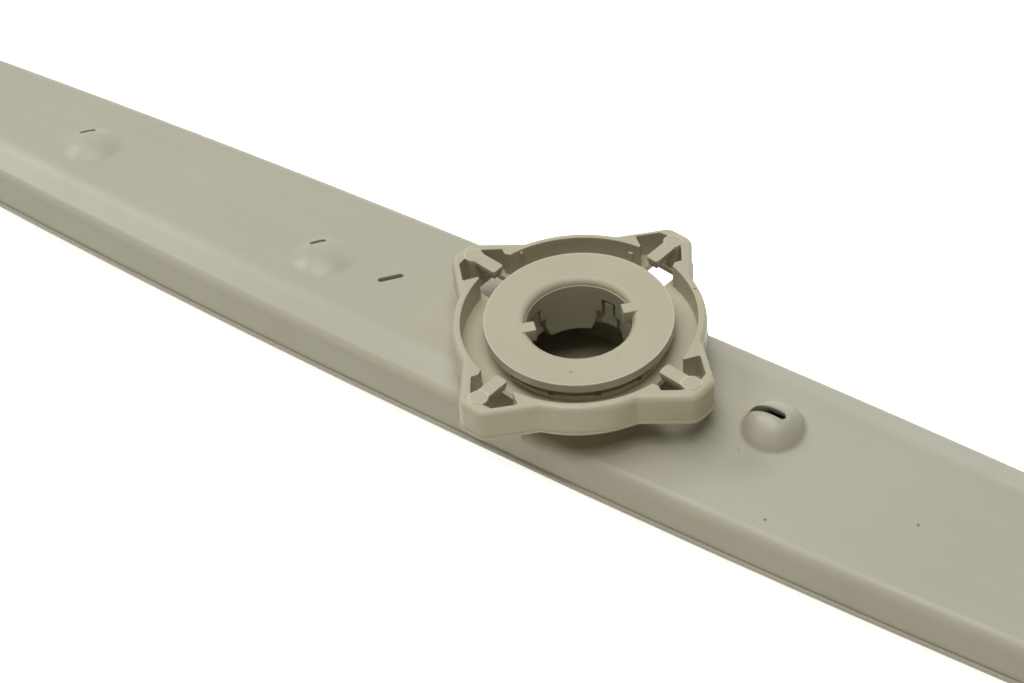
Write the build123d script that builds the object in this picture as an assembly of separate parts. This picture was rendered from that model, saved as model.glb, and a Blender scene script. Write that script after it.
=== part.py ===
from build123d import *
import math
import os

# A dishwasher spray arm: a hollow blade welded from two plastic halves, which turns in a lobed mounting ring on a flanged bush.
# Origin on the turning axis, on the plane that the arm lies on. +X runs along the arm, +Z up through the bore. Millimetres, degrees.

# Blade, seen from above
HALF_LENGTH = 230.0        # turning axis to tip
HALF_WIDTH = 25.15         # foot of the upper side wall, at the hub
EDGE_SAG = 8.3             # how far each long edge curves in between the hub and the tip
TIP_ARC = 40.0             # radius of the blunt tip
TIP_CORNER = 9.0           # corner radius at the tip

# Blade, heights from the plane that it lies on
SEAM_Z = 4.4               # where the two halves meet
SHOULDER_Z = 13.2          # top of the side wall under the wide roof, at the hub
BAND_FOOT_Z = 14.3         # top of the side wall under the narrow band
RIDGE_Z = 17.6             # ridge between roof and band, and top of the hub pad
ROOF_CLIMB = 0.25          # rise of the wide roof towards the tip
SIDE_DRAFT = 2.0           # lean of the side walls
RIDGE_INSET = 8.6          # ridge to the shoulder beside it, across the arm
SHELL_WALL = 1.8
RIDGE_ROUND = 12.0
SHOULDER_ROUND = 3.0

# Weld seam
RIM_PROUD = 0.6            # the lower half's lip stands this far out of the upper wall
RIM_HEIGHT = 1.0
KEEL_SLOPE = 45.0          # lean of the lower half's side below the lip
LOCATING_RIB = 1.2         # rib of the lower half inside the upper wall
LOCATING_RISE = 2.0
FIT_GAP = 0.1              # between pieces that are fixed together

# Spray nozzles: place along and across the arm, base radius and height of the dome
LOW_DOME_R = 8.0
LOW_DOME_H = 2.4
HIGH_DOME_R = 7.3
HIGH_DOME_H = 5.2
LOW_DOMES = [(-155.6, 0.5), (-74.6, -2.9), (203.0, 1.0)]
HIGH_DOMES = [(49.2, 3.8), (131.0, 2.0)]
SLIT_WIDTH = 1.5
SLIT_ANGLE = 55.0          # run of the slits in the roof and in the low domes, from the arm's length
PLAIN_SLIT = (-55.7, -0.2)
PLAIN_SLIT_LENGTH = 6.5
LOW_SLIT_LENGTH = 4.2
LOW_SLIT_OFFSET = 4.2      # centre of a low dome to its slit, square to the slit
HIGH_SLIT_LENGTH = 9.0     # along the arm, over the crown of a high dome
HIGH_SLIT_WIDTH = 1.9
HIGH_SLIT_PLACE = (-1.6, 0.7)
SPRUE_PIP = (28.2, -5.0)   # small round bump on the roof beside the hub
SPRUE_PIP_R = 2.8
SPRUE_PIP_H = 1.2

# Hub bush
FLANGE_R = 22.0
FLANGE_THICK = 2.3
FLANGE_TOP_Z = 30.0
BORE_R = 12.3
BORE_LEDGE = 0.2           # small step under the rounded mouth
MOUTH_ROUND = 1.7
SKIRT_WALL = 1.3
SKIRT_END_Z = 14.6
SHOULDER_R = 18.3          # step under the flange, which the washer bears on
LUG_REACH_R = 10.3
LUG_WIDTH = 3.0
LUG_HEIGHT = 3.4
LUG_ANGLE = 46.5
SLOT_TOP_Z = 24.7
SLOT_STEP_Z = 20.8
SLOT_FOOT_Z = 17.9
SLOT_HALF = 1.9
SLOT_STEP_HALF = 3.4
SLOT_MOUTH_HALF = 5.0      # reached this far below the skirt's end
SLOT_MOUTH_DROP = 1.0
SNAP_PROUD = 0.6           # bead at the skirt's end, under the arm's roof

# Collar of the arm, round the skirt
COLLAR_WALL = 1.8
COLLAR_TOP_GAP = 0.3       # to the underside of the ring
PAD_R = 17.0               # flat of the hub pad; its edge slopes at 45 degrees
KEY_HALF = 1.2
KEY_FOOT_HALF = 2.1
KEY_TOP_Z = 24.1
KEY_NECK_Z = 20.0
KEY_FOOT_TOP_Z = 18.3
KEY_FOOT_Z = 17.4

# Mounting ring
RING_HEIGHT = 8.0
RING_INNER_R = 27.4
RING_WALL = 2.0
RING_FLOOR = 1.5
RING_TOP_ROUND = 1.5
RING_TURN = -8.5           # first lobe's place, from the arm's length
LOBE_COUNT = 4
LOBE_END = 37.3            # flat end of a lobe, from the axis
LOBE_TIP_HALF = 3.3        # half the width of that end
LOBE_FLANK_LEAD = 51.0     # lean of each flank's normal from the lobe's line
LOBE_SKEW = 1.0            # the flanks are turned a little off the lobe's line
LOBE_ROUND = 3.5
LOBE_KINK_ROUND = 2.0
CATCH_WIDTH = 3.3
CATCH_SKEW = -0.2
CATCH_TIP = 25.5           # inner end of a catch, from the axis
CATCH_THICK = 1.3
CATCH_TIP_ROUND = 0.6
CATCH_STEP_THICK = 1.2     # second layer under the catch
CATCH_STEP_BACK = 0.4
DISC_R = 2.2
DISC_PLACE = 33.4
DISC_PROUD = 0.15
WINDOW_INNER = 23.5
WINDOW_OUTER = 31.0
WINDOW_LOW = -3.9
WINDOW_HIGH = 3.6
# Pocket of a lobe on +X, in plan: one side from the dish out, the narrow corner, and the other side back to the dish
POCKET_REAR = [(24.5, -5.5), (27.2, -5.5), (28.1, -5.1), (29.7, -5.9), (33.1, -2.9), (34.3, -1.2), (34.3, 2.4), (34.0, 4.4)]
POCKET_CORNER = (29.3, 8.1)
POCKET_FRONT = [(27.8, 5.5), (27.5, 4.9), (24.5, 4.8)]
POCKET_ROUND = 0.5
WALL_STUBS = [(161.8, 28.1, 0.8), (105.0, 26.2, 1.2)]   # stubs on the dish wall: angle, middle's height, width
STUB_HEIGHT = 2.4
STUB_PROUD = 0.5
FOOT_LIP = 0.25            # thin proud band round the ring's foot
FOOT_LIP_HEIGHT = 0.6
TURN_GAP = 0.1             # between the ring and the pieces that turn in it

# Thrust washer
WASHER_R = 20.5
WASHER_THICK = 1.5
NOTCH_COUNT = 12
NOTCH_WIDTH = 1.4
NOTCH_DEPTH = 0.6

# Worked out from the sizes above
EDGE_ARC = (HALF_LENGTH ** 2 + EDGE_SAG ** 2) / (2 * EDGE_SAG)   # radius of the long edges
SHOULDER_HALF = HALF_WIDTH - (SHOULDER_Z - SEAM_Z) * math.tan(math.radians(SIDE_DRAFT))
BAND_HALF = HALF_WIDTH - (BAND_FOOT_Z - SEAM_Z) * math.tan(math.radians(SIDE_DRAFT))
RIDGE_Y = BAND_HALF - RIDGE_INSET
ROOF_ANGLE = math.degrees(math.atan2(RIDGE_Z - SHOULDER_Z, SHOULDER_HALF + RIDGE_Y))
RING_FOOT_Z = FLANGE_TOP_Z - RING_HEIGHT
RING_FLOOR_Z = RING_FOOT_Z + RING_FLOOR
RING_OUTER_R = RING_INNER_R + RING_WALL
SKIRT_R = BORE_R + SKIRT_WALL
COLLAR_INNER_R = SKIRT_R + FIT_GAP
COLLAR_R = COLLAR_INNER_R + COLLAR_WALL
COLLAR_TOP_Z = RING_FOOT_Z - COLLAR_TOP_GAP
WASHER_FOOT_Z = RING_FLOOR_Z + TURN_GAP
WASHER_TOP_Z = WASHER_FOOT_Z + WASHER_THICK
KEEL_Z = SEAM_Z - RIM_HEIGHT
TOP_MARGIN = 6.0           # how far cutting tools reach past the solid
STANDING = (Align.CENTER, Align.CENTER, Align.MIN)


def blade_outline(z, grow=0.0):
    """Plan of the blade at the foot of the upper side wall, laid at height z and grown or shrunk all round."""
    edge_r = EDGE_ARC + grow
    tip_r = TIP_ARC + grow
    x = HALF_LENGTH
    for _ in range(12):
        y = HALF_WIDTH - EDGE_ARC + math.sqrt(edge_r ** 2 - x ** 2)
        x = HALF_LENGTH - TIP_ARC + math.sqrt(tip_r ** 2 - y ** 2)
    length = HALF_LENGTH + grow
    width = HALF_WIDTH + grow
    edges = [
        ThreePointArc((-x, y), (0, width), (x, y)),
        ThreePointArc((x, y), (length, 0), (x, -y)),
        ThreePointArc((x, -y), (0, -width), (-x, -y)),
        ThreePointArc((-x, -y), (-length, 0), (-x, y)),
    ]
    face = make_face(Wire(edges))
    face = fillet(face.vertices(), TIP_CORNER + grow)
    return Pos(0, 0, z) * face.faces()[0]


def tapered_blade(low_z, high_z, slope, grow=0.0):
    """The blade's plan raised from low_z to high_z, leaning in by an angle on all sides."""
    inward = (high_z - low_z) * math.tan(math.radians(slope))
    return loft([blade_outline(low_z, grow), blade_outline(high_z, grow - inward)], ruled=True)


def straight_blade(low_z, high_z, grow):
    """The blade's plan raised straight from low_z to high_z."""
    return extrude(blade_outline(low_z, grow), high_z - low_z)


def roof_tool(drop):
    """What lies above one wing's wide roof, which falls from the ridge near +Y to the shoulder on -Y."""
    length = HALF_LENGTH + TOP_MARGIN
    block = Box(length, 4 * HALF_WIDTH, RIDGE_Z, align=(Align.MIN, Align.CENTER, Align.MIN))
    return Pos(0, -SHOULDER_HALF, SHOULDER_Z - drop) * Rot(ROOF_ANGLE, -ROOF_CLIMB, 0) * block


def band_tool(drop):
    """What lies above the narrow band between the ridge and the +Y edge: a wide cone about the edge arc's centre."""
    slope = (RIDGE_Z - BAND_FOOT_Z) / RIDGE_INSET
    inner = EDGE_ARC - 2 * RIDGE_INSET
    outer = EDGE_ARC + TOP_MARGIN
    low = BAND_FOOT_Z - drop
    high = low + 2 * RIDGE_INSET * slope
    profile = Polyline((outer, low - TOP_MARGIN * slope), (outer, high), (inner, high), close=True)
    reach = math.degrees(2 * HALF_LENGTH / EDGE_ARC)
    wedge = revolve(Plane.XZ * make_face(profile), Axis.Z, revolution_arc=reach)
    return Pos(0, BAND_HALF - EDGE_ARC, 0) * Rot(0, 0, 90 - reach / 2) * wedge


def wing(grow, low_z, drop, rounded):
    """The +X wing as a solid, its roof cut to the sloping side and the shallow band."""
    blank = tapered_blade(low_z, RIDGE_Z + TOP_MARGIN, SIDE_DRAFT, grow)
    blank &= Pos(HALF_LENGTH, 0, 0) * Box(2 * HALF_LENGTH, 4 * HALF_WIDTH, 4 * RIDGE_Z)
    solid = blank - roof_tool(drop) - band_tool(drop)
    if rounded:
        ridge, shoulders = crease_edges(solid)
        solid = fillet(ridge, RIDGE_ROUND)
        ridge, shoulders = crease_edges(solid)
        solid = fillet(shoulders, SHOULDER_ROUND)
    return solid


def crease_edges(solid):
    """The long ridge edge, and the edges where the roof meets the side walls and the tip."""
    ridge = []
    shoulders = []
    for edge in solid.edges():
        middle = edge.center()
        if middle.X < 1.0 or middle.Z < SEAM_Z + 1.0 or abs(edge.tangent_at(0.5).Z) > 0.5:
            continue
        if abs(middle.Y - RIDGE_Y) < RIDGE_INSET / 2 and edge.length > HALF_LENGTH / 2:
            ridge.append(edge)
        else:
            shoulders.append(edge)
    return ridge, shoulders


def blade_form(grow, low_z, drop, rounded):
    """Both wings and the hub pad between them, as one solid."""
    one = wing(grow, low_z, drop, rounded)
    other = Rot(0, 0, 180) * one
    pad_height = RIDGE_Z - drop - low_z
    pad = Pos(0, 0, low_z) * Cone(PAD_R + pad_height, PAD_R, pad_height, align=STANDING)
    pad &= tapered_blade(low_z, RIDGE_Z + TOP_MARGIN, SIDE_DRAFT, grow)
    return one + other + pad


def roof_place(x, y):
    """The frame on the roof's outer face at a place of the blade, its Z axis square to the roof."""
    side = 1.0 if x > 0 else -1.0
    across = side * y
    lift = (across + SHOULDER_HALF) * math.tan(math.radians(ROOF_ANGLE)) + abs(x) * math.tan(math.radians(ROOF_CLIMB))
    return Pos(x, y, SHOULDER_Z + lift) * Rot(side * ROOF_ANGLE, -side * ROOF_CLIMB, 0)


def dome(radius, height):
    """A nozzle's dome: the part of a ball that stands out of Z = 0, with a plug below it that reaches into the roof."""
    ball_r = (radius ** 2 + height ** 2) / (2 * height)
    plug = Pos(0, 0, -SHELL_WALL) * Cylinder(radius, height + SHELL_WALL, align=STANDING)
    return Pos(0, 0, height - ball_r) * Sphere(ball_r) & plug


def dome_hollow(radius, height):
    """The space under a dome, as a blunt cone one wall's thickness below its crown."""
    return Pos(0, 0, -2 * SHELL_WALL) * Cone(radius, radius / 3, height + SHELL_WALL, align=STANDING)


def slit(length, width, height):
    """A straight spray slit along X, as the tool that cuts it."""
    ends = SlotOverall(length, width)
    return Pos(0, 0, -2 * SHELL_WALL) * extrude(ends, height + 3 * SHELL_WALL)


def low_slit():
    """The short slit in the flank of a low dome."""
    tool = slit(LOW_SLIT_LENGTH, SLIT_WIDTH, LOW_DOME_H)
    return Rot(0, 0, SLIT_ANGLE) * Pos(0, LOW_SLIT_OFFSET, 0) * tool


def high_slit():
    """The long slit over the crown of a high dome."""
    return Pos(*HIGH_SLIT_PLACE) * slit(HIGH_SLIT_LENGTH, HIGH_SLIT_WIDTH, HIGH_DOME_H)


def hub_key():
    """One inverted-T key inside the collar, on +X, reaching in from the collar's wall into a slot of the skirt."""
    points = [
        (-KEY_HALF, KEY_TOP_Z),
        (KEY_HALF, KEY_TOP_Z),
        (KEY_HALF, KEY_NECK_Z),
        (KEY_FOOT_HALF, KEY_FOOT_TOP_Z),
        (KEY_FOOT_HALF, KEY_FOOT_Z),
        (-KEY_FOOT_HALF, KEY_FOOT_Z),
        (-KEY_FOOT_HALF, KEY_FOOT_TOP_Z),
        (-KEY_HALF, KEY_NECK_Z),
    ]
    face = Plane.YZ * make_face(Polyline(*points, close=True))
    bar = extrude(face, COLLAR_R)
    room = Cylinder(SKIRT_R, KEY_TOP_Z, align=STANDING)
    room += Cylinder(COLLAR_INNER_R + FIT_GAP, COLLAR_TOP_Z, align=STANDING)
    room -= Cylinder(BORE_R + FIT_GAP, KEY_TOP_Z, align=STANDING)
    return bar & room


def make_upper_shell():
    """Upper half of the arm, with the hub's collar, the domes and the slits."""
    shell = blade_form(0.0, SEAM_Z, 0.0, True)
    domes = [(place, LOW_DOME_R, LOW_DOME_H) for place in LOW_DOMES]
    domes += [(place, HIGH_DOME_R, HIGH_DOME_H) for place in HIGH_DOMES]
    for place, radius, height in domes:
        shell += roof_place(*place) * dome(radius, height)
    shell += roof_place(*SPRUE_PIP) * dome(SPRUE_PIP_R, SPRUE_PIP_H)
    shell -= blade_form(-SHELL_WALL, SEAM_Z, SHELL_WALL, False)
    for place, radius, height in domes:
        shell -= roof_place(*place) * dome_hollow(radius, height)
    for place in LOW_DOMES:
        shell -= roof_place(*place) * low_slit()
    for place in HIGH_DOMES:
        shell -= roof_place(*place) * high_slit()
    shell -= roof_place(*PLAIN_SLIT) * Rot(0, 0, SLIT_ANGLE) * slit(PLAIN_SLIT_LENGTH, SLIT_WIDTH, 0)
    low = RIDGE_Z - SHELL_WALL
    collar = Pos(0, 0, low) * Cylinder(COLLAR_R, COLLAR_TOP_Z - low, align=STANDING)
    shell += collar
    shell -= Cylinder(COLLAR_INNER_R, FLANGE_TOP_Z, align=STANDING)
    for turn in range(4):
        shell += Rot(0, 0, 90 * turn) * hub_key()
    return shell


def make_lower_shell():
    """Lower half of the arm: a shallow tray with the weld lip and a locating rib."""
    rib_outer = -SHELL_WALL - FIT_GAP
    rib_inner = rib_outer - LOCATING_RIB
    floor_slope = rib_inner - (KEEL_Z - SHELL_WALL) * math.tan(math.radians(KEEL_SLOPE))
    tray = loft([blade_outline(0, -KEEL_Z * math.tan(math.radians(KEEL_SLOPE))), blade_outline(KEEL_Z)], ruled=True)
    tray += straight_blade(KEEL_Z, SEAM_Z, RIM_PROUD)
    tray += tapered_blade(SEAM_Z, SEAM_Z + LOCATING_RISE, SIDE_DRAFT, rib_outer)
    tray -= straight_blade(KEEL_Z, SEAM_Z, rib_inner)
    tray -= tapered_blade(SEAM_Z, SEAM_Z + LOCATING_RISE, SIDE_DRAFT, rib_inner)
    tray -= loft([blade_outline(SHELL_WALL, floor_slope), blade_outline(KEEL_Z, rib_inner)], ruled=True)
    return tray


def skirt_slot():
    """The stepped slot on +X that leaves room for a key and lets the skirt's quarters flex."""
    points = [
        (-SLOT_HALF, SLOT_TOP_Z),
        (SLOT_HALF, SLOT_TOP_Z),
        (SLOT_HALF, SLOT_STEP_Z),
        (SLOT_STEP_HALF, SLOT_STEP_Z),
        (SLOT_STEP_HALF, SLOT_FOOT_Z),
        (SLOT_MOUTH_HALF, SKIRT_END_Z - SLOT_MOUTH_DROP),
        (-SLOT_MOUTH_HALF, SKIRT_END_Z - SLOT_MOUTH_DROP),
        (-SLOT_STEP_HALF, SLOT_FOOT_Z),
        (-SLOT_STEP_HALF, SLOT_STEP_Z),
        (-SLOT_HALF, SLOT_STEP_Z),
    ]
    face = Plane.YZ * make_face(Polyline(*points, close=True))
    return extrude(face, FLANGE_R)


def make_hub_bush():
    """Flange, neck and slotted skirt in one, with two lugs at the mouth of the bore."""
    flange_foot = FLANGE_TOP_Z - FLANGE_THICK
    ledge_z = FLANGE_TOP_Z - MOUTH_ROUND
    mouth_r = BORE_R + BORE_LEDGE
    snap_top = RIDGE_Z - SHELL_WALL
    section = [
        (BORE_R, ledge_z),
        (BORE_R, SKIRT_END_Z),
        (SKIRT_R, SKIRT_END_Z),
        (SKIRT_R + SNAP_PROUD, SKIRT_END_Z + SNAP_PROUD),
        (SKIRT_R + SNAP_PROUD, snap_top),
        (SKIRT_R, snap_top),
        (SKIRT_R, WASHER_TOP_Z),
        (SHOULDER_R, WASHER_TOP_Z),
        (SHOULDER_R, flange_foot),
        (FLANGE_R, flange_foot),
        (FLANGE_R, FLANGE_TOP_Z),
    ]
    flat_end = (mouth_r + MOUTH_ROUND, FLANGE_TOP_Z)
    mouth = RadiusArc(flat_end, (mouth_r, ledge_z), -MOUTH_ROUND)
    outline = Polyline(*section, flat_end) + mouth + Line((mouth_r, ledge_z), section[0])
    bush = revolve(Plane.XZ * make_face(outline), Axis.Z)
    for turn in range(4):
        bush -= Rot(0, 0, 90 * turn) * skirt_slot()
    lug_length = mouth_r + MOUTH_ROUND - LUG_REACH_R
    for turn in range(2):
        lug = Box(lug_length, LUG_WIDTH, LUG_HEIGHT, align=(Align.MIN, Align.CENTER, Align.MAX))
        bush += Rot(0, 0, LUG_ANGLE + 180 * turn) * Pos(LUG_REACH_R, 0, FLANGE_TOP_Z) * lug
    return bush


def lobe_outline():
    """Plan of the ring's outside: a round with four skewed, blunt lobes."""
    plan = Circle(RING_OUTER_R)
    lead = math.radians(LOBE_FLANK_LEAD)
    run = LOBE_END * math.sin(lead) - LOBE_TIP_HALF * math.cos(lead)
    root_x = LOBE_END - run * math.sin(lead)
    root_y = LOBE_TIP_HALF + run * math.cos(lead)
    points = [(0, 0), (root_x, -root_y), (LOBE_END, -LOBE_TIP_HALF), (LOBE_END, LOBE_TIP_HALF), (root_x, root_y)]
    for turn in range(LOBE_COUNT):
        lobe = make_face(Polyline(*points, close=True))
        plan += Rot(0, 0, 360 / LOBE_COUNT * turn + LOBE_SKEW) * lobe
    outer = [v for v in plan.vertices() if math.hypot(v.X, v.Y) > RING_OUTER_R + 1.0]
    plan = fillet(outer, LOBE_ROUND)
    kinks = [v for v in plan.vertices() if math.hypot(v.X, v.Y) < RING_OUTER_R + 0.1]
    return fillet(kinks, LOBE_KINK_ROUND)


def pocket_outline():
    """Plan of one lobe's pocket, with a small nose on each side where it meets the dish."""
    face = make_face(Polyline(*POCKET_REAR, POCKET_CORNER, *POCKET_FRONT, close=True))
    corner = face.vertices().sort_by_distance((*POCKET_CORNER, 0))[0]
    return fillet(corner, POCKET_ROUND)


def catch():
    """One lobe's radial catch bar with its second layer, and the post with the raised disc."""
    length = DISC_PLACE - CATCH_TIP
    bar = Pos(CATCH_TIP, CATCH_SKEW, FLANGE_TOP_Z) * Box(
        length, CATCH_WIDTH, CATCH_THICK, align=(Align.MIN, Align.CENTER, Align.MAX)
    )
    tip_edges = bar.edges().filter_by(Axis.Z).sort_by(Axis.X)[:2]
    bar = fillet(tip_edges, CATCH_TIP_ROUND)
    step = Pos(CATCH_TIP + CATCH_STEP_BACK, CATCH_SKEW, FLANGE_TOP_Z - CATCH_THICK) * Box(
        length, CATCH_WIDTH - 2 * CATCH_STEP_BACK, CATCH_STEP_THICK, align=(Align.MIN, Align.CENTER, Align.MAX)
    )
    post = Pos(DISC_PLACE, 0, RING_FOOT_Z) * Cylinder(
        DISC_R, RING_HEIGHT + DISC_PROUD, align=STANDING
    )
    return bar + step + post


def wall_stub(angle, middle_z, width):
    """A small stub on the dish wall, under the rounded rim."""
    stub = Box(STUB_PROUD + RING_WALL / 2, width, STUB_HEIGHT, align=(Align.MIN, Align.CENTER, Align.CENTER))
    return Rot(0, 0, angle) * Pos(RING_INNER_R - STUB_PROUD, 0, middle_z) * stub


def make_mounting_ring():
    """The lobed dish that fastens to the feed pipe and carries the turning arm."""
    plan = lobe_outline()
    ring = extrude(Pos(0, 0, RING_FOOT_Z) * plan, RING_HEIGHT)
    ring = fillet(ring.faces().sort_by(Axis.Z)[-1].outer_wire().edges(), RING_TOP_ROUND)
    ring += extrude(Pos(0, 0, RING_FOOT_Z) * offset(plan, FOOT_LIP), FOOT_LIP_HEIGHT)
    ring -= Pos(0, 0, RING_FLOOR_Z) * Cylinder(RING_INNER_R, RING_HEIGHT, align=STANDING)
    ring -= Cylinder(SKIRT_R + TURN_GAP, FLANGE_TOP_Z, align=STANDING)
    for turn in range(LOBE_COUNT):
        place = Rot(0, 0, 360 / LOBE_COUNT * turn)
        ring -= place * extrude(Pos(0, 0, RING_FLOOR_Z) * pocket_outline(), RING_HEIGHT)
        window = Box(
            WINDOW_OUTER - WINDOW_INNER,
            WINDOW_HIGH - WINDOW_LOW,
            RING_HEIGHT,
            align=(Align.MIN, Align.MIN, Align.CENTER),
        )
        ring -= place * Pos(WINDOW_INNER, WINDOW_LOW, RING_FOOT_Z) * window
        ring += place * catch()
    for turn in range(2):
        for stub in WALL_STUBS:
            ring += Rot(0, 0, 180 * turn) * wall_stub(*stub)
    return Rot(0, 0, RING_TURN) * ring


def make_thrust_washer():
    """Flat washer with shallow water grooves across its upper face."""
    washer = Pos(0, 0, WASHER_FOOT_Z) * Cylinder(WASHER_R, WASHER_THICK, align=STANDING)
    washer -= Cylinder(SKIRT_R + TURN_GAP, FLANGE_TOP_Z, align=STANDING)
    groove = Box(WASHER_R, NOTCH_WIDTH, NOTCH_DEPTH, align=(Align.MIN, Align.CENTER, Align.MAX))
    for turn in range(NOTCH_COUNT):
        angle = 360 / NOTCH_COUNT * (turn + 0.5)
        washer -= Rot(0, 0, angle) * Pos(SHOULDER_R, 0, WASHER_TOP_Z) * groove
    return washer


def main():
    os.makedirs("parts", exist_ok=True)
    parts = {
        "upper_shell": make_upper_shell(),
        "lower_shell": make_lower_shell(),
        "hub_bush": make_hub_bush(),
        "mounting_ring": make_mounting_ring(),
        "thrust_washer": make_thrust_washer(),
    }
    for name, solid in parts.items():
        export_step(solid, f"parts/{name}.step")


main()
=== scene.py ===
import math

import bpy
from mathutils import Matrix, Vector

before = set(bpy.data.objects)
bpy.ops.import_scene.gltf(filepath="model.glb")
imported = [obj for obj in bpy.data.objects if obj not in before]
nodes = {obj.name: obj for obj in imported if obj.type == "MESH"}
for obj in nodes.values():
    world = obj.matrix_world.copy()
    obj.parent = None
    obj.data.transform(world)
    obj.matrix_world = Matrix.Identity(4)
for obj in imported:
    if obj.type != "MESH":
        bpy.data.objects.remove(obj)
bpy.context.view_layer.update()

MM = 0.001

# Camera of the photograph, solved from the hub's circles. Degrees and metres.
VIEW_AZIMUTH = 38.0
VIEW_ELEVATION = 44.3
VIEW_ROLL = -5.0
VIEW_DISTANCE = 0.49962       # along the view to the hub's centre at the flange's top
LENS = 76.54
SENSOR = 36.0
CLIP_START = 0.01
HUB_TOP = Vector((0.0, 0.0, 0.030))
HUB_RIGHT = 0.01531           # hub's centre in the view, right of and above the middle
HUB_UP = 0.00560

# Studio: each soft box has its place, its side length in metres, its power in watts and its colour
WORLD_STRENGTH = 0.025
FLOOR_SIZE = 12.0
FLOOR_DROP = 0.0002           # the floor lies just under the arm's underside
FLOOR_COLOUR = (0.9, 0.875, 0.79, 1.0)
FLOOR_ROUGHNESS = 0.9
FLOOR_GLOW = 0.85             # seen by the camera and in reflections only
WHITE = (1.0, 1.0, 1.0, 1.0)
NEUTRAL = (1.0, 1.0, 1.0)
COOL = (0.93, 1.0, 1.0)
WARM = (1.0, 0.86, 0.68)
SOFT_BOXES = {
    "top_front": ((0.2, -0.25, 1.25), 0.6, 5.15, NEUTRAL),
    "top_left": ((-0.14, 0.0, 0.75), 0.45, 2.3, NEUTRAL),
    "left": ((-0.95, 0.05, 0.88), 0.36, 3.7, COOL),
    "back": ((0.0, 0.95, 0.40), 0.4, 1.3, COOL),
    "low_front": ((0.62, -0.85, 0.14), 0.5, 0.95, WARM),
}

# Noise patterns of the moulded plastic: scale per metre, detail and roughness
CLOUDS = (22.0, 4.0, 0.55)
STREAKS = (1.0, 3.0, 0.6)     # on coordinates stretched along the flow of the melt
RUBS = (55.0, 5.0, 0.65)
GRAIN = (1600.0, 2.0, 0.6)
WAVES = (90.0, 2.0, 0.4)

# Where in its range each pattern starts and is full
CLOUD_RANGE = (0.3, 0.7)
STREAK_RANGE = (0.35, 0.75)
RUB_RANGE = (0.35, 0.7)

# How strongly the patterns show
CLOUD_SHARE = 0.6             # the rest of the tone comes from the streaks
GRAIN_SHARE = 0.35
WAVE_SHARE = 0.9
BUMP_STRENGTH = 0.25
BUMP_DEPTH = 0.0002           # metres
RUB_DULLER = 0.07
RUB_SHINIER = 0.05

# How the flow stretches the streaks, per metre along x, y and z
ALONG_ARM = (6.0, 260.0, 260.0)
ALL_ROUND = (60.0, 60.0, 200.0)

# Sheen of the plastic
SPECULAR = 0.45
ARM_ROUGHNESS = 0.40
RING_ROUGHNESS = 0.42
BUSH_ROUGHNESS = 0.5
WASHER_ROUGHNESS = 0.5

# Moulded edges, softened in the shader. Millimetres.
EDGE_SAMPLES = 6
UPPER_EDGE = 0.6
LOWER_EDGE = 0.3
HUB_EDGE = 0.4
WASHER_EDGE = 0.3
FOOT_BLEND = 4.0              # width of the collar in which a dome's foot is blended
FOOT_ROUND = 1.8
EDGE_STARTS = 0.99            # likeness of the softened normal to the plain one where an edge begins
EDGE_FULL = 0.88
EDGE_HIGHLIGHT = 0.3               # how far an edge goes to the pale colour: a painted highlight along the moulded edges
SPOT_SOFTNESS = 0.5
COLLAR_SOFTNESS = 0.1

# The Mix node's colour sockets, which share their names with sockets of other types
MIX_COLOUR_A = 6
MIX_COLOUR_B = 7
MIX_COLOUR_RESULT = 2

ARM_LIGHT = (0.478, 0.452, 0.348, 1.0)
ARM_DARK = (0.438, 0.413, 0.314, 1.0)
HUB_LIGHT = (0.51, 0.468, 0.335, 1.0)
HUB_DARK = (0.475, 0.433, 0.303, 1.0)
# Colour of the painted highlights on edges and rims
HIGHLIGHT_PALE = (0.78, 0.745, 0.61, 1.0)
BROWN = (0.16, 0.11, 0.06, 1.0)
RUST = (0.24, 0.12, 0.03, 1.0)
AMBER = (0.45, 0.27, 0.07, 1.0)
FAINT = (0.36, 0.33, 0.24, 1.0)

# Specks of dirt: place and radius in millimetres, and colour
ARM_SPECKS = [
    ((60.1, -18.9, 14.0), 0.35, BROWN),
    ((89.5, -4.5, 15.6), 0.35, BROWN),
    ((45.5, -5.2, 15.7), 0.25, BROWN),
    ((-164.0, -5.0, 16.5), 0.3, BROWN),
    ((43.3, 2.8, 18.8), 0.6, AMBER),
    ((43.5, 3.3, 19.1), 0.4, RUST),
    ((43.9, 3.7, 19.5), 0.5, AMBER),
]
BUSH_SPECKS = [
    ((8.2, -15.7, 30.0), 0.45, FAINT),
    ((14.7, -6.3, 30.0), 0.25, FAINT),
]
RING_SPECKS = [
    ((17.9, 21.8, 29.9), 0.35, RUST),
    ((18.6, 22.2, 29.2), 0.3, FAINT),
]

# Where a foot is blended into the roof: centre and radius in millimetres. The last is the hub's pad.
SOFT_FEET = [
    ((-155.6, 0.5, 15.7), 8.0),
    ((-74.6, -2.9, 15.7), 8.0),
    ((203.0, 1.0, 16.5), 8.0),
    ((49.2, 3.8, 15.9), 7.3),
    ((131.0, 2.0, 16.2), 7.3),
    ((0.0, 0.0, 13.2), 26.0),
]

# Painted highlights round the discs on the four posts of the mounting ring and at the rim of the bush's
# flange. Millimetres and degrees.
DISC_PLACE = 33.4
DISC_TOP = 30.15
DISC_RADIUS = 2.2
DISC_RIM = 0.2
FIRST_LOBE = -8.5
LOBES = 4
FLANGE_RADIUS = 22.0
FLANGE_RIM = 0.5
FLANGE_RIM_HIGHLIGHT = 0.45


def link(tree, source, target):
    tree.links.new(source, target)


def node(tree, kind, **settings):
    """A new shader node with its settings made."""
    made = tree.nodes.new(kind)
    for key, value in settings.items():
        setattr(made, key, value)
    return made


def stretched(tree, coords, scale):
    """The coordinates, stretched by three factors."""
    mapping = node(tree, "ShaderNodeMapping")
    mapping.inputs["Scale"].default_value = scale
    link(tree, coords, mapping.inputs["Vector"])
    return mapping.outputs["Vector"]


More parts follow.
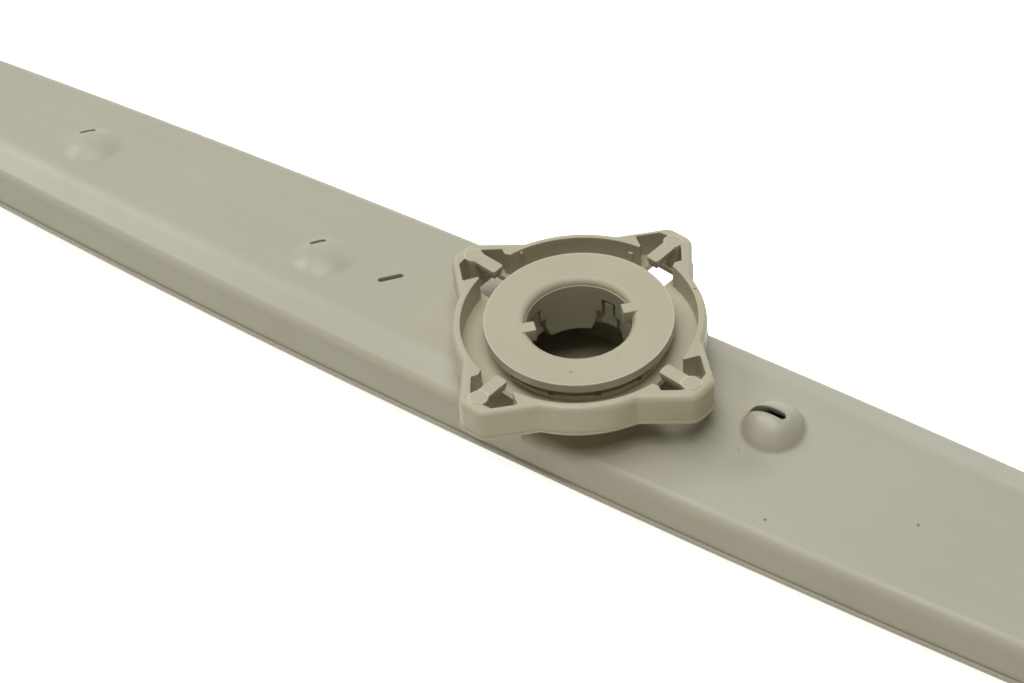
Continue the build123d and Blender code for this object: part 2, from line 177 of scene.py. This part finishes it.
def noise(tree, vector, pattern):
    """Noise between 0 and 1 on the coordinates given, in one of the patterns above."""
    scale, detail, roughness = pattern
    made = node(tree, "ShaderNodeTexNoise")
    made.inputs["Scale"].default_value = scale
    made.inputs["Detail"].default_value = detail
    made.inputs["Roughness"].default_value = roughness
    link(tree, vector, made.inputs["Vector"])
    return made.outputs["Fac"]


def remap(tree, value, low, high, out_low, out_high):
    """A value between low and high, taken to the range from out_low to out_high."""
    made = node(tree, "ShaderNodeMapRange", clamp=True)
    made.inputs["From Min"].default_value = low
    made.inputs["From Max"].default_value = high
    made.inputs["To Min"].default_value = out_low
    made.inputs["To Max"].default_value = out_high
    link(tree, value, made.inputs["Value"])
    return made.outputs["Result"]


def math_node(tree, operation, a, b):
    """The result of one operation on a and b; each may be a number or a socket."""
    made = node(tree, "ShaderNodeMath", operation=operation)
    for socket, value in zip(made.inputs, (a, b)):
        if isinstance(value, (int, float)):
            socket.default_value = value
        else:
            link(tree, value, socket)
    return made.outputs[0]


def weighted(tree, a, share_a, b, share_b):
    """Two values added, each times its share."""
    first = math_node(tree, "MULTIPLY", a, share_a)
    second = math_node(tree, "MULTIPLY", b, share_b)
    return math_node(tree, "ADD", first, second)


def mixed(tree, factor, a, b):
    """Colour a going to colour b by factor; each may be a colour or a socket."""
    made = node(tree, "ShaderNodeMix", data_type="RGBA")
    link(tree, factor, made.inputs["Factor"])
    for index, value in ((MIX_COLOUR_A, a), (MIX_COLOUR_B, b)):
        if isinstance(value, tuple):
            made.inputs[index].default_value = value
        else:
            link(tree, value, made.inputs[index])
    return made.outputs[MIX_COLOUR_RESULT]


def spot(tree, coords, centre_mm, radius_mm, softness=SPOT_SOFTNESS):
    """1 within a radius of a point of the piece, falling to 0 outside."""
    distance = node(tree, "ShaderNodeVectorMath", operation="DISTANCE")
    link(tree, coords, distance.inputs[0])
    distance.inputs[1].default_value = [c * MM for c in centre_mm]
    edge = radius_mm * MM
    return remap(tree, distance.outputs["Value"], edge * (1 - softness), edge * (1 + softness), 1.0, 0.0)


def collar_mask(tree, coords, centre_mm, radius_mm, width_mm):
    """1 in a collar of a given width at a radius from a point of the piece, falling to 0 on both sides."""
    outside = spot(tree, coords, centre_mm, radius_mm - width_mm / 2, COLLAR_SOFTNESS)
    inside = spot(tree, coords, centre_mm, radius_mm + width_mm / 2, COLLAR_SOFTNESS)
    return math_node(tree, "SUBTRACT", inside, outside)


def outside_mask(tree, coords, radius_mm, width_mm):
    """0 near the turning axis, rising to 1 over a width that ends at a radius from it."""
    flat = node(tree, "ShaderNodeVectorMath", operation="MULTIPLY")
    link(tree, coords, flat.inputs[0])
    flat.inputs[1].default_value = (1.0, 1.0, 0.0)
    length = node(tree, "ShaderNodeVectorMath", operation="LENGTH")
    link(tree, flat.outputs["Vector"], length.inputs[0])
    return remap(tree, length.outputs["Value"], (radius_mm - width_mm) * MM, radius_mm * MM, 0.0, 1.0)


def edge_radius(tree, coords, edge_mm, soft_feet):
    """How far the moulded edges are softened, in metres: more at the blended feet."""
    total = None
    for centre, radius in soft_feet:
        mask = collar_mask(tree, coords, centre, radius, FOOT_BLEND)
        total = mask if total is None else math_node(tree, "MAXIMUM", total, mask)
    return remap(tree, total, 0.0, 1.0, edge_mm * MM, FOOT_ROUND * MM)


def softened_edges(tree, coords, edge_mm, soft_feet):
    """The surface's normal with its moulded edges rounded off."""
    made = node(tree, "ShaderNodeBevel", samples=EDGE_SAMPLES)
    made.inputs["Radius"].default_value = edge_mm * MM
    if soft_feet:
        link(tree, edge_radius(tree, coords, edge_mm, soft_feet), made.inputs["Radius"])
    return made.outputs["Normal"]


def edge_mask(tree, soft_normal):
    """1 along the moulded edges, where the softened normal leaves the plain one."""
    plain = node(tree, "ShaderNodeNewGeometry").outputs["Normal"]
    likeness = node(tree, "ShaderNodeVectorMath", operation="DOT_PRODUCT")
    link(tree, soft_normal, likeness.inputs[0])
    link(tree, plain, likeness.inputs[1])
    return remap(tree, likeness.outputs["Value"], EDGE_STARTS, EDGE_FULL, 0.0, 1.0)


def moulded_tone(tree, coords, colour, dark, flow):
    """Cloudy tone with streaks along the flow of the melt."""
    clouds = remap(tree, noise(tree, coords, CLOUDS), *CLOUD_RANGE, 0.0, 1.0)
    streaks = remap(tree, noise(tree, stretched(tree, coords, flow), STREAKS), *STREAK_RANGE, 0.0, 1.0)
    lightness = weighted(tree, clouds, CLOUD_SHARE, streaks, 1.0 - CLOUD_SHARE)
    return mixed(tree, lightness, dark, colour)


def moulded_bump(tree, coords, soft_normal):
    """Fine grain and shallow waves over the softened edges."""
    grain = noise(tree, coords, GRAIN)
    waves = noise(tree, coords, WAVES)
    bump = node(tree, "ShaderNodeBump")
    bump.inputs["Strength"].default_value = BUMP_STRENGTH
    bump.inputs["Distance"].default_value = BUMP_DEPTH
    link(tree, weighted(tree, grain, GRAIN_SHARE, waves, WAVE_SHARE), bump.inputs["Height"])
    link(tree, soft_normal, bump.inputs["Normal"])
    return bump.outputs["Normal"]


def moulded_plastic(
    name, colour, dark, roughness, flow, edge_mm,
    specks=(), soft_feet=(), edge_highlight=0.0, disc_highlights=(), outer_highlight=None,
):
    """Satin moulded plastic: cloudy tone, streaks, fine grain, rubbed patches, painted highlights along
    edges and rims, specks of dirt.
    """
    material = bpy.data.materials.new(name)
    material.use_nodes = True
    tree = material.node_tree
    bsdf = tree.nodes["Principled BSDF"]
    coords = node(tree, "ShaderNodeTexCoord").outputs["Object"]
    soft_normal = softened_edges(tree, coords, edge_mm, soft_feet)
    paint = moulded_tone(tree, coords, colour, dark, flow)
    # Painted highlight: the edges are lightened toward the pale colour where the softened normal turns from
    # the plain one
    if edge_highlight:
        edge_highlight_share = math_node(tree, "MULTIPLY", edge_mask(tree, soft_normal), edge_highlight)
        paint = mixed(tree, edge_highlight_share, paint, HIGHLIGHT_PALE)
    # Painted highlights: pale collars round the rims of the discs
    for centre, radius, width in disc_highlights:
        paint = mixed(tree, collar_mask(tree, coords, centre, radius, width), paint, HIGHLIGHT_PALE)
    # Painted highlight: the band outside a radius, at the flange's rim, is lightened toward the pale colour
    if outer_highlight:
        radius, width, strength = outer_highlight
        rim = math_node(tree, "MULTIPLY", outside_mask(tree, coords, radius, width), strength)
        paint = mixed(tree, rim, paint, HIGHLIGHT_PALE)
    for centre, radius, tint in specks:
        paint = mixed(tree, spot(tree, coords, centre, radius), paint, tint)
    link(tree, paint, bsdf.inputs["Base Color"])
    shiny = roughness - RUB_SHINIER
    dull = roughness + RUB_DULLER
    rubbed = remap(tree, noise(tree, coords, RUBS), *RUB_RANGE, shiny, dull)
    link(tree, rubbed, bsdf.inputs["Roughness"])
    link(tree, moulded_bump(tree, coords, soft_normal), bsdf.inputs["Normal"])
    bsdf.inputs["Specular IOR Level"].default_value = SPECULAR
    return material


def highlights_round_discs():
    """Centre, radius and width of the painted highlight round the rim of each disc on the mounting ring."""
    rims = []
    for lobe in range(LOBES):
        angle = math.radians(FIRST_LOBE + lobe * 360 / LOBES)
        centre = (DISC_PLACE * math.cos(angle), DISC_PLACE * math.sin(angle), DISC_TOP)
        rims.append((centre, DISC_RADIUS, DISC_RIM))
    return rims


def dress(name, material):
    """Gives a CAD node its material."""
    mesh = nodes[name].data
    mesh.materials.clear()
    mesh.materials.append(material)


def dress_arm():
    """The two halves of the arm: one plastic, with specks and blended feet on the upper half."""
    upper = moulded_plastic(
        "arm_plastic", ARM_LIGHT, ARM_DARK, ARM_ROUGHNESS, ALONG_ARM, UPPER_EDGE,
        specks=ARM_SPECKS, soft_feet=SOFT_FEET,
    )
    lower = moulded_plastic(
        "lower_plastic", ARM_LIGHT, ARM_DARK, ARM_ROUGHNESS, ALONG_ARM, LOWER_EDGE,
        # Painted highlight along the lower shell's edges
        edge_highlight=EDGE_HIGHLIGHT,
    )
    dress("upper_shell", upper)
    dress("lower_shell", lower)


def dress_hub():
    """The bush, the ring and the washer: a warmer plastic, with painted highlights along the edges of the
    bush and the ring, round the ring's discs and at the flange's rim.
    """
    # Painted highlight at the flange's rim: radius, width and strength
    flange_rim = (FLANGE_RADIUS, FLANGE_RIM, FLANGE_RIM_HIGHLIGHT)
    bush = moulded_plastic(
        "bush_plastic", HUB_LIGHT, HUB_DARK, BUSH_ROUGHNESS, ALL_ROUND, HUB_EDGE,
        # Painted highlights along the bush's edges and at the flange's rim
        specks=BUSH_SPECKS, edge_highlight=EDGE_HIGHLIGHT, outer_highlight=flange_rim,
    )
    ring = moulded_plastic(
        "ring_plastic", HUB_LIGHT, HUB_DARK, RING_ROUGHNESS, ALL_ROUND, HUB_EDGE,
        # Painted highlights along the ring's edges and round its discs
        specks=RING_SPECKS, edge_highlight=EDGE_HIGHLIGHT, disc_highlights=highlights_round_discs(),
    )
    washer = moulded_plastic(
        "washer_plastic", HUB_LIGHT, HUB_DARK, WASHER_ROUGHNESS, ALL_ROUND, WASHER_EDGE
    )
    dress("hub_bush", bush)
    dress("mounting_ring", ring)
    dress("thrust_washer", washer)


def soft_box(name, place, side, power, colour):
    """A square lamp that points at the middle of the part."""
    data = bpy.data.lights.new(name, "AREA")
    data.shape = "SQUARE"
    data.size = side
    data.energy = power
    data.color = colour
    lamp = bpy.data.objects.new(name, data)
    lamp.location = place
    lamp.rotation_euler = (-Vector(place)).to_track_quat("-Z", "Y").to_euler()
    bpy.context.scene.collection.objects.link(lamp)


def photo_camera():
    """The camera at the photograph's place, with the hub right of and above the picture's middle."""
    azimuth = math.radians(VIEW_AZIMUTH)
    elevation = math.radians(VIEW_ELEVATION)
    roll = math.radians(VIEW_ROLL)
    ahead = Vector((-math.sin(azimuth), math.cos(azimuth), 0.0))
    forward = ahead * math.cos(elevation) - Vector((0.0, 0.0, math.sin(elevation)))
    level_right = Vector((math.cos(azimuth), math.sin(azimuth), 0.0))
    level_up = level_right.cross(forward)
    right = level_right * math.cos(roll) + level_up * math.sin(roll)
    up = level_up * math.cos(roll) - level_right * math.sin(roll)
    place = HUB_TOP - forward * VIEW_DISTANCE - right * HUB_RIGHT - up * HUB_UP
    data = bpy.data.cameras.new("camera")
    data.lens = LENS
    data.sensor_width = SENSOR
    data.clip_start = CLIP_START
    camera = bpy.data.objects.new("camera", data)
    turn = Matrix((right, up, -forward)).transposed().to_4x4()
    camera.matrix_world = Matrix.Translation(place) @ turn
    bpy.context.scene.collection.objects.link(camera)
    bpy.context.scene.camera = camera


def seen_glow(tree, strength):
    """A glow that the camera, reflections and see-through pieces see, and that lights nothing."""
    path = node(tree, "ShaderNodeLightPath")
    seen = math_node(tree, "MAXIMUM", path.outputs["Is Camera Ray"], path.outputs["Is Glossy Ray"])
    seen = math_node(tree, "MAXIMUM", seen, path.outputs["Is Transmission Ray"])
    return math_node(tree, "MULTIPLY", seen, strength)


def pale_floor():
    """Floor that photographs white and keeps the part's shadow."""
    bpy.ops.mesh.primitive_plane_add(size=FLOOR_SIZE, location=(0, 0, -FLOOR_DROP))
    floor = bpy.context.object
    floor.name = "floor"
    material = bpy.data.materials.new("floor_white")
    material.use_nodes = True
    tree = material.node_tree
    bsdf = tree.nodes["Principled BSDF"]
    bsdf.inputs["Base Color"].default_value = FLOOR_COLOUR
    bsdf.inputs["Roughness"].default_value = FLOOR_ROUGHNESS
    bsdf.inputs["Emission Color"].default_value = WHITE
    link(tree, seen_glow(tree, FLOOR_GLOW), bsdf.inputs["Emission Strength"])
    floor.data.materials.append(material)


def white_surroundings():
    """World that shows white to the camera and in reflections, and lights only dimly."""
    world = bpy.context.scene.world or bpy.data.worlds.new("world")
    bpy.context.scene.world = world
    world.use_nodes = True
    background = world.node_tree.nodes["Background"]
    background.inputs["Color"].default_value = WHITE
    glow = seen_glow(world.node_tree, 1.0 - WORLD_STRENGTH)
    total = math_node(world.node_tree, "ADD", glow, WORLD_STRENGTH)
    link(world.node_tree, total, background.inputs["Strength"])


def studio():
    """Floor, surroundings and lamps."""
    pale_floor()
    white_surroundings()
    for name, (place, side, power, colour) in SOFT_BOXES.items():
        soft_box(name, place, side, power, colour)
    bpy.context.scene.view_settings.view_transform = "Standard"


dress_arm()
dress_hub()
studio()
photo_camera()
